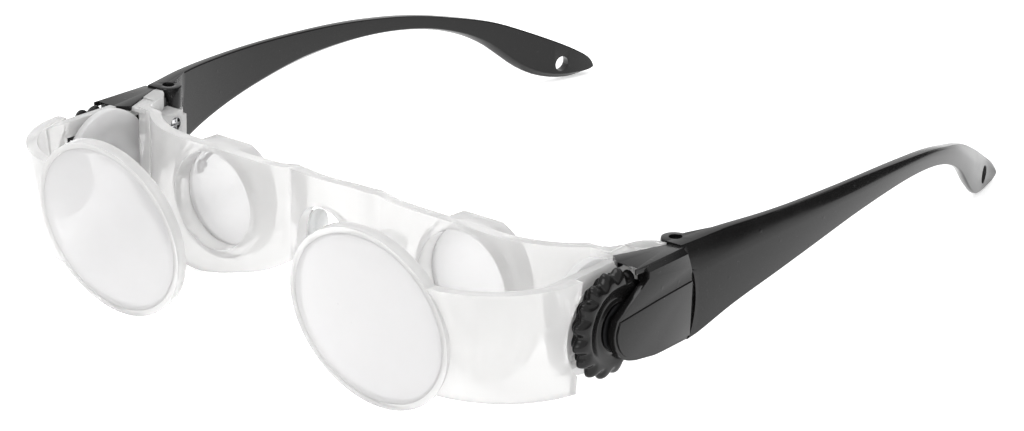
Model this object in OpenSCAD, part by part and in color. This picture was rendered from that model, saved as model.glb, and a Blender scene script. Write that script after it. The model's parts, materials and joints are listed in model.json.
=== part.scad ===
// Binocular glasses: a clear rear frame with two eyepieces, two clear objective
// carriers that slide fore and aft on spiral cams, and two folding black temples.
// +X is the wearer's left, +Y runs back to the ears, +Z is up.

/* [Optics] */
// Distance between the centres of the two objectives
axis_spacing = 66; // [64:0.5:68]
// Distance between the centres of the two eyepieces
eyepiece_spacing = 64; // [62:0.5:65]
// Diameter of each objective lens
objective_d = 34.6; // [33:0.2:35]
// Thickness of the objective at its edge
objective_edge = 1.2; // [0.9:0.1:1.5]
// Rise of the objective's front face above its edge
objective_crown = 2.0; // [1.4:0.1:2.4]
// Rise of the objective's rear face
objective_rear = 0.7; // [0.4:0.1:0.9]
// Diameter of each eyepiece lens
eyepiece_d = 21.6; // [20.6:0.2:22.2]
// Thickness of the eyepiece at its edge
eyepiece_edge = 2.4; // [2:0.1:2.6]
// Depth of the hollow in each face of the eyepiece
eyepiece_hollow = 0.7; // [0.4:0.1:0.9]

/* [Front carriers] */
// Clear border around the objective
plate_border = 1.2; // [1:0.1:1.5]
// Thickness of the lens plate
plate_t = 2.2; // [2:0.1:2.8]
// Forward lean of the lens plate
plate_tilt = 10; // [6:0.5:12]
// Distance from the focus wheel's axis forward to the lens plate
carrier_reach = 27.9; // [27:0.1:29]
// Thickness of the wall that wraps round the side
wall_t = 2.2; // [1.8:0.1:2.6]
// Outer radius of the wrapped wall, seen from above
wrap_r = 21.5; // [21:0.1:22]
// Height of the wrapped wall above the wheel's axis
wall_top = 10.7; // [10.4:0.1:12]
// Depth of the wrapped wall below the wheel's axis
wall_drop = 11.3; // [10.4:0.1:12]
// Thickness of the sliding arm
arm_t = 1.8; // [1.6:0.1:2]
// Height of each rail of the sliding arm
rail_h = 1.5; // [1.2:0.1:2]

/* [Focus drive] */
// Diameter over the focus wheel's teeth
wheel_d = 21; // [20:0.1:21.2]
// Width of the focus wheel
wheel_w = 3.6; // [3.2:0.1:3.8]
// Number of scallops round the wheel
wheel_teeth = 16; // [12:1:18]
// Depth of each scallop
scallop_depth = 0.8; // [0.5:0.1:1]
// Diameter of the clear cam disc
cam_d = 22; // [21.8:0.1:22.4]
// Thickness of the cam disc
cam_t = 1.6; // [1.5:0.1:1.8]
// Depth of the spiral groove
groove_depth = 1.1; // [0.8:0.1:1.2]
// Fore-and-aft travel of each carrier
focus_travel = 4.8; // [4:0.1:4.8]
// Turn of the wheel over that travel
focus_turn = 240; // [200:5:260]
// Diameter of the cam follower pin
follower_d = 1.4; // [1.2:0.1:1.4]
// Diameter of the wheel's hub
hub_d = 6.4; // [6:0.1:6.4]
// Diameter of the stub axle that the wheel turns on
axle_d = 4.4; // [4:0.1:4.6]

/* [Rear frame] */
// Distance between the two hinge axes
hinge_spacing = 130.6; // [130:0.2:132]
// Distance from the hinge axes forward to the front face
frame_depth = 22; // [21.5:0.1:22.5]
// Thickness of the front wall
frame_t = 2.4; // [2:0.1:2.8]
// Depth of the eyepiece barrels
barrel_l = 6.6; // [6:0.1:7.5]
// Wall of the eyepiece barrels
barrel_wall = 1.6; // [1.4:0.1:2]
// Width of the lip in front of the eyepiece
barrel_lip = 0.5; // [0.4:0.1:0.8]
// Depth of the eyepiece's centre below the wheel's axis
eye_drop = 1.5; // [1.2:0.1:2]
// Depth of the lowest point of the frame's rim below the wheel's axis
rim_drop = 17.4; // [17:0.1:17.6]
// Half width of the nose arch at its mouth
nose_half_w = 8.6; // [8:0.1:9]
// Thickness of the soft nose pads
pad_t = 2; // [1.6:0.1:2.4]

/* [End pieces] */
// Thickness of the outer cover
cover_t = 1.4; // [1.2:0.1:1.8]
// Thickness of the top and bottom walls
channel_t = 1; // [0.8:0.1:1.1]
// Height of the raised panel on the cover
panel_rise = 0.3; // [0.2:0.1:0.5]

/* [Temples] */
// Length from the hinge axis to the tip
temple_l = 139.5; // [134:0.5:146]
// Height of the temple's highest point above the wheel's axis
temple_top = 10.7; // [10.6:0.1:10.8]
// Radius of the temple's outer face, seen from above
temple_r = 275; // [268:1:280]
// Thickness at the hinge
temple_root_t = 4.6; // [4.4:0.1:4.8]
// Thickness from the taper back to the tip
temple_tip_t = 2.6; // [2.4:0.1:3]
// Length of the taper behind the hinge
temple_taper = 34; // [28:1:40]
// Diameter of the cord hole in the tip
cord_hole_d = 3.8; // [3:0.1:4.4]

/* [Hinges] */
// Diameter of the hinge pin
pin_d = 1.8; // [1.5:0.1:2]
// Outer radius of the hinge knuckles
knuckle_r = 3; // [2.8:0.1:3]

/* [Fits] */
// Side gap between neighbours in the focus drive
side_gap = 0.4; // [0.35:0.05:0.5]
// Radial clearance of running fits
run_clear = 0.05; // [0.02:0.01:0.08]
// Clearance between the follower pin and its groove
groove_clear = 0.15; // [0.1:0.01:0.18]
// Gap between parts that move past one another
move_gap = 0.3; // [0.25:0.05:0.35]

/* [Hidden] */
$fn = 72;
eps = 0.01;

// Heights here count from the wheel's axis and depths from the hinge axes.
// The finished part then moves so that it stands on z = 0 with its box centred.
hinge_x = hinge_spacing / 2;
lens_x = axis_spacing / 2;
eye_x = eyepiece_spacing / 2;
wheel_y = -22.1;
lens_y = wheel_y - carrier_reach;
lens_r = objective_d / 2;
plate_r = lens_r + plate_border;
rest_z = -plate_r * cos(plate_tilt);
front_y = lens_y - plate_r * sin(plate_tilt);
mid_y = (front_y + temple_l) / 2;

// The stack of the focus drive, from the bracket outwards
bracket_x = hinge_x - 5;
bracket_in = bracket_x - frame_t;
disc_x = bracket_x + 0.3;
arm_x = disc_x + cam_t + side_gap;
wheel_x = arm_x + arm_t + side_gap;
cover_x = wheel_x + wheel_w + side_gap;
cover_out = cover_x + cover_t;
lug_x = arm_x - 0.2;
shoulder_x = arm_x + arm_t + 0.3;

// The spiral groove: its radius grows steadily with the angle
cam_rest_r = 4.85;
cam_rise = focus_travel / focus_turn;
groove_w = follower_d + 2 * groove_clear;
groove_over = 8;
groove_steps = 44;
follower_y = wheel_y - cam_rest_r;
wheel_clear_r = wheel_d / 2 + 1;

// The sliding arm and the channel that it runs in
channel_top = 8.9;
channel_bottom = -7.5;
rail_top = channel_top - move_gap;
rail_bottom = channel_bottom + move_gap;
arm_top = 10.4;
arm_step_y = -18.1;
arm_front_y = -37.5;
arm_back_y = -7.5;
window_front_y = -32;
tongue_h = 3.2;
tongue_end = follower_y + follower_d / 2 + 0.5;
wrap_x = bracket_x + 6.2 - wrap_r;

// The rear frame
frame_y = -frame_depth;
frame_top = 10;
frame_floor = -8.5;
corner_r = 23.2;
corner_x = bracket_x - 20.8;
corner_turn = 47;
barrel_r = eyepiece_d / 2 + barrel_wall;
opening_r = eyepiece_d / 2 - barrel_lip;
bridge_r = 20.6;
bridge_out = 3.5;
nose_floor = -7.3;
pad_y = frame_y + 0.8;
pad_turn = 14;
lug_front_y = -9;
lug_back_y = -3.3;
lug_top = 10;
lug_shelf = 7;
lug_floor = -5.6;

// The end pieces
channel_front_y = -15.5;
channel_back_y = -9.6;
cover_back_y = -0.2;
block_front_y = -10.9;
root_front_y = -7.1;
root_back_y = -3.7;
screw_y = -5.4;
screw_z = [-3.2, 4.5];
screw_r = 0.8;
screw_head_r = 1.5;
screw_head_h = 1.1;

// The hinges
knuckle_top = 10;
knuckle_mid_top = 5;
knuckle_mid_bottom = -5.1;
knuckle_bottom = -7.2;
pin_r = pin_d / 2;
pin_recess = 0.9;

// The temples: two arcs seen from above give the faces
temple_front_y = 0.3;
temple_x = hinge_x + 8.6;
temple_mid_y = 43;
temple_steps = 36;
drawn_l = 139.5;
drawn_top = 10.7;
cord_y = temple_l - 9.5;
cord_z = -1.3 * temple_top;
cord_turn = asin((cord_y - temple_mid_y) / temple_r);

// A smooth curve through a list of points, n steps to each span
function curve_at(a, b, c, d, t) =
    0.5 * (2 * b + (c - a) * t + (2 * a - 5 * b + 4 * c - d) * t * t
        + (3 * b - a - 3 * c + d) * t * t * t);
function curve(p, n) = [
    for (i = [0:len(p) - 2])
        for (k = [0:n - 1])
            curve_at(p[max(i - 1, 0)], p[i], p[i + 1], p[min(i + 2, len(p) - 1)], k / n),
    p[len(p) - 1]
];

// Puts the wearer's left side, or its mirror image for the right side, in the part's frame
module side(left) {
    translate([0, -mid_y, -rest_z])
        mirror([left ? 0 : 1, 0, 0])
            children();
}
module both_sides() {
    for (m = [0, 1])
        mirror([m, 0, 0])
            children();
}
// An axis along +X at the wheel's centre, starting at x
module at_wheel(x) {
    translate([x, wheel_y, 0])
        rotate([0, 90, 0])
            children();
}
// The lens plate's own frame: its front face is z = 0 and z runs back to the eye
module at_plate() {
    translate([lens_x, lens_y, 0])
        rotate([-90 + plate_tilt, 0, 0])
            children();
}
// An outline drawn in x and z, given a thickness back from y
module front_wall(y, t) {
    translate([0, y + t, 0])
        rotate([90, 0, 0])
            linear_extrude(t)
                children();
}
// An outline drawn in y and z, given a thickness outwards from x
module side_wall(x, t) {
    translate([x, 0, 0])
        rotate([90, 0, 90])
            linear_extrude(t)
                children();
}

// The rear frame: one clear moulding
function arc(cx, cy, r, from, to, n) = [
    for (k = [0:n])
        let (t = from + (to - from) * k / n)
            [cx + r * cos(t), cy + r * sin(t)]
];
function flip(p) = [for (k = [len(p) - 1:-1:0]) [-p[k][0], p[k][1]]];
function back(p) = [for (k = [len(p) - 1:-1:0]) p[k]];
// Half of the plan, drawn a distance in from the front face
function frame_line(inner) =
    let (
        y0 = frame_y + inner,
        b = bridge_r - inner,
        by = frame_y - bridge_out + bridge_r,
        turn = acos((by - y0) / b),
        r = corner_r - inner
    ) concat(
        arc(0, by, b, -90, -90 + turn, 6),
        arc(corner_x, frame_y + corner_r, r, -90, -90 + corner_turn, 7),
        [[bracket_x - inner, -13.9 + inner * 0.5], [bracket_x - inner, lug_back_y - 1]]
    );
module frame_plan() {
    outer = frame_line(0);
    inner = frame_line(frame_t);
    half_out = [for (k = [1:len(outer) - 1]) outer[k]];
    half_in = [for (k = [1:len(inner) - 1]) inner[k]];
    polygon(concat(flip(half_out), outer, back(half_in), flip(back(inner))));
}
module frame_silhouette() {
    crest = curve([[0, 12.1], [6, 11.9], [10.5, 11], [15, 10.2], [20, frame_top]], 4);
    rim = curve([
        [eye_x + 16.2, frame_floor], [eye_x + 14.6, -12.6], [eye_x + 10.6, -16.1],
        [eye_x + 4.5, -rim_drop], [eye_x - 2, -16.4], [eye_x - 8, -14.7],
        [eye_x - 14, -12.7], [eye_x - 18.6, -10.3]
    ], 4);
    arch = curve([[nose_half_w, nose_floor], [7.2, -2.5], [5.8, 2.4], [3.2, 5.4], [0, 6.4]], 4);
    half = concat(
        [for (k = [1:len(crest) - 1]) crest[k]],
        [[80, frame_top], [80, frame_floor]],
        rim,
        [for (k = [0:len(arch) - 2]) arch[k]]
    );
    polygon(concat([crest[0]], half, [arch[len(arch) - 1]], flip(half)));
}
module frame_shell() {
    intersection() {
        translate([0, 0, -20])
            linear_extrude(40)
                frame_plan();
        front_wall(-40, 45)
            frame_silhouette();
    }
}
module half_additions() {
    eyepiece_barrel();
    nose_wing();
    bracket_lug();
}
module half_cuts() {
    eyepiece_bore();
    // Underside of the bracket, cut up behind the disc so that the folded tip passes
    translate([50, lug_front_y - 0.5, -30])
        cube([30, 20, 30 + lug_floor]);
    lug_shave();
    for (z = screw_z) {
        translate([bracket_in - 1, screw_y, z])
            rotate([0, 90, 0])
                cylinder(r = screw_r + run_clear, h = 20, $fn = 24);
        translate([bracket_in - 1, screw_y, z])
            rotate([0, 90, 0])
                cylinder(r = screw_head_r + 0.15, h = 1 + screw_head_h + 0.2, $fn = 24);
    }
    translate([hinge_x, 0, -20])
        cylinder(r = pin_r, h = 40, $fn = 32);
}
// Barrel behind the front wall, flat where it meets the frame's top
module eyepiece_barrel() {
    intersection() {
        translate([eye_x, frame_y + barrel_l, -eye_drop])
            rotate([90, 0, 0])
                cylinder(r = barrel_r, h = barrel_l - 1, $fn = 96);
        translate([0, -40, frame_top - 40])
            cube([80, 40, 40]);
    }
}
module eyepiece_bore() {
    translate([eye_x, frame_y + barrel_l + 1, -eye_drop])
        rotate([90, 0, 0])
            cylinder(r = eyepiece_d / 2, h = eyepiece_edge + 1, $fn = 96);
    translate([eye_x, 0, -eye_drop])
        rotate([90, 0, 0])
            cylinder(r = opening_r, h = 40, $fn = 96);
}
module nose_wing() {
    translate([nose_half_w, pad_y, 0])
        rotate([0, 0, -pad_turn])
            translate([0, 0, nose_floor])
                cube([1.8, 8, 6.8]);
}
module bracket_lug() {
    translate([bracket_in, lug_front_y, lug_floor])
        cube([lug_x - bracket_in, lug_back_y - lug_front_y, lug_top - lug_floor]);
    // Top plate beside the end piece's top wall, with its step
    translate([0, 0, channel_top])
        linear_extrude(0.8)
            lug_plan(-14.5);
    translate([0, 0, channel_top])
        linear_extrude(lug_top - channel_top)
            lug_plan(lug_front_y);
    // Neck and middle knuckle
    translate([hinge_x - 5.2, lug_back_y - eps, knuckle_mid_bottom])
        cube([5.2, -lug_back_y + eps, knuckle_mid_top - knuckle_mid_bottom]);
    translate([hinge_x, 0, knuckle_mid_bottom])
        cylinder(r = knuckle_r, h = knuckle_mid_top - knuckle_mid_bottom);
}
// Above its shelf the lug's inner side curves outwards to the hinge
module lug_shave() {
    translate([0, 0, lug_shelf])
        linear_extrude(20)
            polygon([
                [bracket_in - 4, 4], [bracket_in - 4, -12.6], [bracket_in - 0.4, -12.6],
                [bracket_in + 1, -11.9], [bracket_in + 2.2, -9.4], [bracket_in + 2.9, -6.6],
                [bracket_in + 3.6, -5.2], [bracket_in + 4.6, -4.2], [bracket_in + 5.8, lug_back_y],
                [bracket_in + 5.8, 4]
            ]);
}
module lug_plan(front) {
    intersection() {
        polygon([
            [bracket_in, -15], [bracket_x + 1.2, -15], [bracket_x + 5.3, -4.2],
            [bracket_x + 5.3, lug_back_y], [bracket_in, lug_back_y]
        ]);
        translate([50, front])
            square([30, 20]);
    }
}
module rear_frame() {
    color([0.85, 0.88, 0.9, 0.6])
        translate([0, -mid_y, -rest_z])
            difference() {
                union() {
                    frame_shell();
                    both_sides()
                        half_additions();
                }
                both_sides()
                    half_cuts();
            }
}

// Lenses: each is a turned profile
function dome(r, rise, z, n) =
    let (big = (r * r + rise * rise) / (2 * rise), full = asin(r / big))
        [for (k = [0:n]) let (t = full * k / n) [big * sin(t), z + big * (1 - cos(t))]];
module eyepiece(left) {
    rim = eyepiece_d / 2 - 1;
    low = [for (p = dome(rim, eyepiece_hollow, 0, 8)) [p[0], eyepiece_hollow - p[1]]];
    high = [for (p = low) [p[0], eyepiece_edge - p[1]]];
    color([0.9, 0.95, 1, 0.4])
        side(left)
            translate([eye_x, frame_y + barrel_l, -eye_drop])
                rotate([90, 0, 0])
                    rotate_extrude($fn = 96)
                        polygon(concat(
                            low, [[eyepiece_d / 2, 0], [eyepiece_d / 2, eyepiece_edge]], back(high)
                        ));
}
module eyepiece_lens_left() { eyepiece(true); }
module eyepiece_lens_right() { eyepiece(false); }

module objective(left) {
    rear_base = lens_r - 0.9;
    low = dome(lens_r, objective_crown, -objective_crown, 10);
    high = [for (p = dome(rear_base, objective_rear, 0, 6))
        [p[0], objective_edge + objective_rear - p[1]]];
    color([0.9, 0.95, 1, 0.4])
        side(left)
            at_plate()
                rotate_extrude($fn = 96)
                    polygon(concat(low, [[lens_r, objective_edge]], back(high)));
}
module objective_lens_left() { objective(true); }
module objective_lens_right() { objective(false); }

// Soft nose pads on the wings of the arch
module nose_pad(left) {
    color([0.8, 0.85, 0.85, 0.7])
        side(left)
            translate([nose_half_w, pad_y, 0])
                rotate([0, 0, -pad_turn])
                    translate([-pad_t, 0, 0])
                        side_wall(0, pad_t) {
                            translate([5, -1.9])
                                circle(3);
                            translate([5, -4])
                                circle(3);
                            translate([2, -4])
                                square([6, 2.1]);
                        }
}
module nose_pad_left() { nose_pad(true); }
module nose_pad_right() { nose_pad(false); }

// Front carriers: lens plate, wrapped side wall and sliding arm in one clear piece
module wrap_solid(r) {
    // Runs up the lens plate, so it leans with it
    translate([wrap_x, lens_y, 0])
        rotate([plate_tilt, 0, 0])
            translate([0, wrap_r, -25])
                cylinder(r = r, h = 50, $fn = 120);
}
module wrap_wall() {
    difference() {
        intersection() {
            union() {
                difference() {
                    wrap_solid(wrap_r);
                    wrap_solid(wrap_r - wall_t);
                }
                translate([lens_x, lens_y, 0])
                    rotate([plate_tilt, 0, 0])
                        translate([0, 0, -25])
                            cube([wrap_x - lens_x, wall_t, 50]);
            }
            translate([lens_x, lens_y - 6, -wall_drop])
                cube([60, wrap_r + 4, wall_top + wall_drop]);
            union() {
                translate([wrap_x, lens_y, 0])
                    rotate([plate_tilt, 0, 0])
                        translate([0, -1, -25])
                            cube([40, wrap_r + 1, 50]);
                translate([lens_x, lens_y, 0])
                    rotate([plate_tilt, 0, 0])
                        translate([0, -1, -25])
                            cube([wrap_x - lens_x + eps, wall_t + 2, 50]);
            }
        }
        at_wheel(shoulder_x)
            cylinder(r = wheel_clear_r, h = 12, $fn = 96);
    }
}
module arm_outline() {
    difference() {
        polygon([
            [arm_front_y, arm_top], [arm_step_y, arm_top], [arm_step_y, rail_top],
            [arm_back_y, rail_top], [arm_back_y, rail_bottom], [arm_front_y, rail_bottom]
        ]);
        translate([window_front_y, rail_bottom + rail_h])
            square([arm_back_y - 1.6 - window_front_y, rail_top - rail_bottom - 2 * rail_h]);
    }
    translate([window_front_y - 1, -tongue_h / 2])
        square([tongue_end - window_front_y + 1, tongue_h]);
}
module carrier_arm() {
    intersection() {
        side_wall(arm_x, arm_t)
            arm_outline();
        union() {
            wrap_solid(wrap_r - 0.02);
            translate([50, -30, -30])
                cube([30, 40, 60]);
        }
    }
}
module carrier(left) {
    color([0.85, 0.88, 0.9, 0.5])
        side(left)
            difference() {
                union() {
                    at_plate()
                        cylinder(r = plate_r, h = plate_t, $fn = 120);
                    wrap_wall();
                    carrier_arm();
                }
                at_plate() {
                    translate([0, 0, -5])
                        cylinder(r = lens_r, h = 5 + objective_edge, $fn = 96);
                    translate([0, 0, -5])
                        cylinder(r = lens_r - 0.8, h = 20, $fn = 96);
                }
                translate([arm_x - 1, follower_y, 0])
                    rotate([0, 90, 0])
                        cylinder(r = follower_d / 2, h = 1 + arm_t - 0.5, $fn = 24);
            }
}
module front_carrier_left() { carrier(true); }
module front_carrier_right() { carrier(false); }

module follower(left) {
    start = disc_x + cam_t - groove_depth + 0.2;
    color([0.75, 0.76, 0.78])
        side(left)
            translate([start, follower_y, 0])
                rotate([0, 90, 0])
                    cylinder(r = follower_d / 2, h = arm_x + arm_t - 0.5 - start, $fn = 24);
}
module cam_follower_left() { follower(true); }
module cam_follower_right() { follower(false); }

// Focus wheel with its hub, and the cam disc pressed on the hub
module wheel(left) {
    r = wheel_d / 2;
    bore = axle_d / 2 + run_clear;
    hub_back = disc_x + 0.5 - wheel_x;
    scallop_r = 1.7;
    color([0.12, 0.12, 0.13])
        side(left)
            at_wheel(wheel_x)
                difference() {
                    rotate_extrude($fn = 96)
                        polygon([
                            [bore, hub_back], [hub_d / 2, hub_back], [hub_d / 2, 0],
                            [r - 0.8, 0], [r, 0.5], [r, wheel_w - 0.7],
                            [r - 0.7, wheel_w], [r - 1.7, wheel_w],
                            [r - 3, wheel_w - 0.7], [5.6, wheel_w - 1],
                            [5.1, wheel_w], [bore, wheel_w]
                        ]);
                    for (k = [0:wheel_teeth - 1])
                        rotate([0, 0, k * 360 / wheel_teeth])
                            translate([r + scallop_r - scallop_depth, 0, -1])
                                cylinder(r = scallop_r, h = wheel_w + 2, $fn = 24);
                }
}
module focus_wheel_left() { wheel(true); }
module focus_wheel_right() { wheel(false); }

function spiral(shift, from, to, n) = [
    for (k = [0:n])
        let (t = from + (to - from) * k / n, a = -90 - t, r = cam_rest_r + cam_rise * t + shift)
            [r * cos(a), r * sin(a)]
];
module cam(left) {
    turn_a = -groove_over;
    turn_b = focus_turn + groove_over;
    outer = spiral(groove_w / 2, turn_a, turn_b, groove_steps);
    inner = spiral(-groove_w / 2, turn_b, turn_a, groove_steps);
    color([0.85, 0.88, 0.9, 0.5])
        side(left)
            at_wheel(disc_x)
                difference() {
                    cylinder(r = cam_d / 2, h = cam_t, $fn = 96);
                    translate([0, 0, -1])
                        cylinder(r = hub_d / 2, h = cam_t + 2, $fn = 96);
                    translate([0, 0, cam_t - groove_depth])
                        linear_extrude(cam_t)
                            polygon(concat(outer, inner));
                }
}
module cam_disc_left() { cam(true); }
module cam_disc_right() { cam(false); }

module washer(left) {
    color([0.7, 0.71, 0.73])
        side(left)
            at_wheel(cover_x - side_gap + 0.1)
                difference() {
                    cylinder(r = 4.6, h = side_gap - 0.1);
                    translate([0, 0, -1])
                        cylinder(r = axle_d / 2 + 0.1, h = 3);
                }
}
module friction_washer_left() { washer(true); }
module friction_washer_right() { washer(false); }

module axle_screw(left) {
    color([0.2, 0.2, 0.21])
        side(left)
            at_wheel(disc_x - 0.4)
                difference() {
                    union() {
                        cylinder(r = 2.8, h = 0.8);
                        cylinder(r = screw_r, h = 6, $fn = 24);
                    }
                    driver_slot(0.4);
                }
}
module driver_slot(depth) {
    for (a = [0, 90])
        rotate([0, 0, a])
            translate([-1.1, -0.25, -1])
                cube([2.2, 0.5, 1 + depth]);
}
module axle_screw_left() { axle_screw(true); }
module axle_screw_right() { axle_screw(false); }

// End pieces: the black brackets that join the frame, the wheel and the hinge
module cover_outline() {
    nose = curve([[-24.4, 2.1], [-25.1, 0], [-24.9, -2.4], [-23.4, -5], [-21, -6.6], [-18, -7.5]], 4);
    polygon(concat(
        [[cover_back_y, channel_top + channel_t], [-15, channel_top + channel_t], [-15, 7.5]],
        nose,
        [[-12.2, frame_floor + 0.1], [-10, frame_floor], [cover_back_y, frame_floor]]
    ));
}
module panel_outline() {
    nose = curve([[-23.6, 1.7], [-24.4, -0.2], [-24.2, -2.3], [-22.8, -4.6], [-20.7, -6.1], [-18, -6.9]], 4);
    polygon(concat(
        [[-1.2, 3], [-12, 2.5]],
        nose,
        [[-12.2, frame_floor + 0.7], [-1.2, frame_floor + 0.7]]
    ));
}
module end_walls() {
    // Top wall, beside the frame's lug
    translate([0, 0, channel_top - eps])
        linear_extrude(channel_t + eps)
            polygon([
                [bracket_x + 1.5, -14.9], [bracket_x + 4.3, -17.3], [cover_x - 0.8, -17.1],
                [cover_x + 0.4, -18], [cover_x + 0.6, -15], [cover_x + 0.6, cover_back_y],
                [bracket_x + 7, cover_back_y], [bracket_x + 5.6, -4.1]
            ]);
    // Bottom wall, below the sliding arm
    translate([arm_x - 0.3, channel_front_y, channel_bottom - channel_t])
        cube([cover_x + 0.6 - arm_x, channel_back_y - channel_front_y, channel_t]);
    // Solid back behind the wheel and the root that meets the lug
    translate([shoulder_x, block_front_y, channel_bottom - channel_t])
        cube([cover_x + 0.3 - shoulder_x, cover_back_y - block_front_y,
            channel_top - channel_bottom + channel_t]);
    translate([lug_x, root_front_y, channel_bottom])
        cube([shoulder_x - lug_x + eps, root_back_y - root_front_y, channel_top - channel_bottom]);
}
module end_piece(left) {
    color([0.12, 0.12, 0.13])
        side(left)
            difference() {
                union() {
                    side_wall(cover_x, cover_t)
                        cover_outline();
                    side_wall(cover_x + cover_t - eps, panel_rise + eps)
                        panel_outline();
                    difference() {
                        end_walls();
                        at_wheel(shoulder_x - 0.1)
                            cylinder(r = wheel_d / 2 + 0.6, h = cover_x - shoulder_x + 0.1, $fn = 96);
                        at_wheel(50)
                            cylinder(r = cam_d / 2 + 0.4, h = arm_x - 0.1 - 50, $fn = 96);
                    }
                    at_wheel(disc_x + 0.4)
                        cylinder(r = axle_d / 2, h = cover_x + 0.2 - disc_x - 0.4);
                }
                // Room for the knuckles and the neck
                translate([hinge_x, 0, -20])
                    cylinder(r = knuckle_r + move_gap, h = 40);
                translate([hinge_x - 5, root_back_y + 0.05, -20])
                    cube([5.3, 10, 40]);
                // Bevel along the top outer edge
                translate([cover_out, -30, channel_top + channel_t])
                    rotate([0, 45, 0])
                        translate([-0.75, 0, -0.75])
                            cube([1.5, 40, 1.5]);
                at_wheel(disc_x)
                    cylinder(r = screw_r, h = 5.8, $fn = 24);
                for (z = screw_z)
                    translate([lug_x - 1, screw_y, z])
                        rotate([0, 90, 0])
                            cylinder(r = screw_r, h = 5.5, $fn = 24);
            }
}
module end_piece_left() { end_piece(true); }
module end_piece_right() { end_piece(false); }

module end_screws(left) {
    color([0.7, 0.71, 0.73])
        side(left)
            for (z = screw_z)
                translate([bracket_in + 0.1, screw_y, z])
                    rotate([0, 90, 0])
                        difference() {
                            union() {
                                cylinder(r = screw_head_r, h = screw_head_h + 0.1, $fn = 24);
                                cylinder(r = screw_r, h = lug_x + 4.3 - bracket_in - 0.1, $fn = 24);
                            }
                            driver_slot(0.5);
                        }
}
module end_piece_screws_left() { end_screws(true); }
module end_piece_screws_right() { end_screws(false); }

module hinge_pin(left) {
    color([0.75, 0.76, 0.78])
        side(left)
            translate([hinge_x, 0, knuckle_bottom])
                cylinder(r = pin_r, h = knuckle_top - pin_recess - knuckle_bottom, $fn = 32);
}
module hinge_pin_left() { hinge_pin(true); }
module hinge_pin_right() { hinge_pin(false); }

// Temples: the side view cut from a bowed slab, with two knuckles at the root
function outer_x(y) = temple_x - temple_r + sqrt(pow(temple_r, 2) - pow(y - temple_mid_y, 2));
function temple_t(y) =
    temple_tip_t + (temple_root_t - temple_tip_t) * pow(max(0, 1 - y / temple_taper), 2);
function at_temple(p) = [for (q = p) [q[0] * temple_l / drawn_l, q[1] * temple_top / drawn_top]];
module temple_plan() {
    inner = [
        for (k = [-1:temple_steps + 1])
            let (y = temple_l * k / temple_steps)
                [outer_x(y) - temple_t(y), y]
    ];
    difference() {
        translate([temple_x - temple_r, temple_mid_y])
            circle(temple_r, $fn = 720);
        polygon(concat(inner, [[-temple_r, temple_l + 10], [-temple_r, -10]]));
    }
}
module temple_outline() {
    lower = curve(at_temple([
        [temple_front_y, -8.6], [10, -5.2], [20, -2.8], [35, 0.1], [50, 2.3], [65, 3.3],
        [78, 3], [90, 1.3], [100, -1.8], [107, -5.4], [112, -9.1], [117, -12.9],
        [122, -15.7], [127, -17.3], [132, -18], [137, -17.8]
    ]), 4);
    upper = curve(at_temple([
        [139.5, -15.8], [137.4, -13.1], [128.4, -8.4], [118.6, -3.9],
        [109, 0], [98, 3], [87, 5.5], [75, 7.3], [60, 8.8], [40, 9.9], [20, 10.5],
        [9, 10.7], [temple_front_y, 10.3]
    ]), 4);
    polygon(concat(lower, upper));
}
module temple(left) {
    color([0.12, 0.12, 0.13])
        side(left)
            difference() {
                union() {
                    intersection() {
                        side_wall(hinge_x - 25, 50)
                            temple_outline();
                        translate([0, 0, -25])
                            linear_extrude(50)
                                temple_plan();
                    }
                    temple_knuckle(knuckle_mid_top + move_gap, knuckle_top);
                    temple_knuckle(knuckle_bottom, knuckle_mid_bottom - move_gap);
                }
                translate([hinge_x, 0, knuckle_mid_bottom - move_gap])
                    cylinder(r = knuckle_r + move_gap,
                        h = knuckle_mid_top - knuckle_mid_bottom + 2 * move_gap);
                translate([hinge_x, 0, -20])
                    cylinder(r = pin_r + run_clear, h = 40, $fn = 32);
                cord_hole();
            }
}
module temple_knuckle(bottom, top) {
    translate([hinge_x, 0, bottom])
        cylinder(r = knuckle_r, h = top - bottom);
    translate([hinge_x, temple_front_y, bottom])
        cube([3, 4, top - bottom]);
}
module cord_hole() {
    translate([temple_x - temple_r, temple_mid_y, cord_z])
        rotate([0, 0, cord_turn])
            translate([temple_r - 8, 0, 0])
                rotate([0, 90, 0])
                    cylinder(r = cord_hole_d / 2, h = 16, $fn = 48);
}
module temple_left() { temple(true); }
module temple_right() { temple(false); }

rear_frame();
eyepiece_lens_left();
eyepiece_lens_right();
nose_pad_left();
nose_pad_right();
front_carrier_left();
front_carrier_right();
objective_lens_left();
objective_lens_right();
cam_follower_left();
cam_follower_right();
focus_wheel_left();
focus_wheel_right();
cam_disc_left();
cam_disc_right();
friction_washer_left();
friction_washer_right();
axle_screw_left();
axle_screw_right();
end_piece_left();
end_piece_right();
end_piece_screws_left();
end_piece_screws_right();
hinge_pin_left();
hinge_pin_right();
temple_left();
temple_right();
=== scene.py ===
import json
import logging
import math
from dataclasses import dataclass
from enum import Enum
from typing import Callable, Sequence

import bmesh
import bpy
from mathutils import Matrix, Vector


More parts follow.
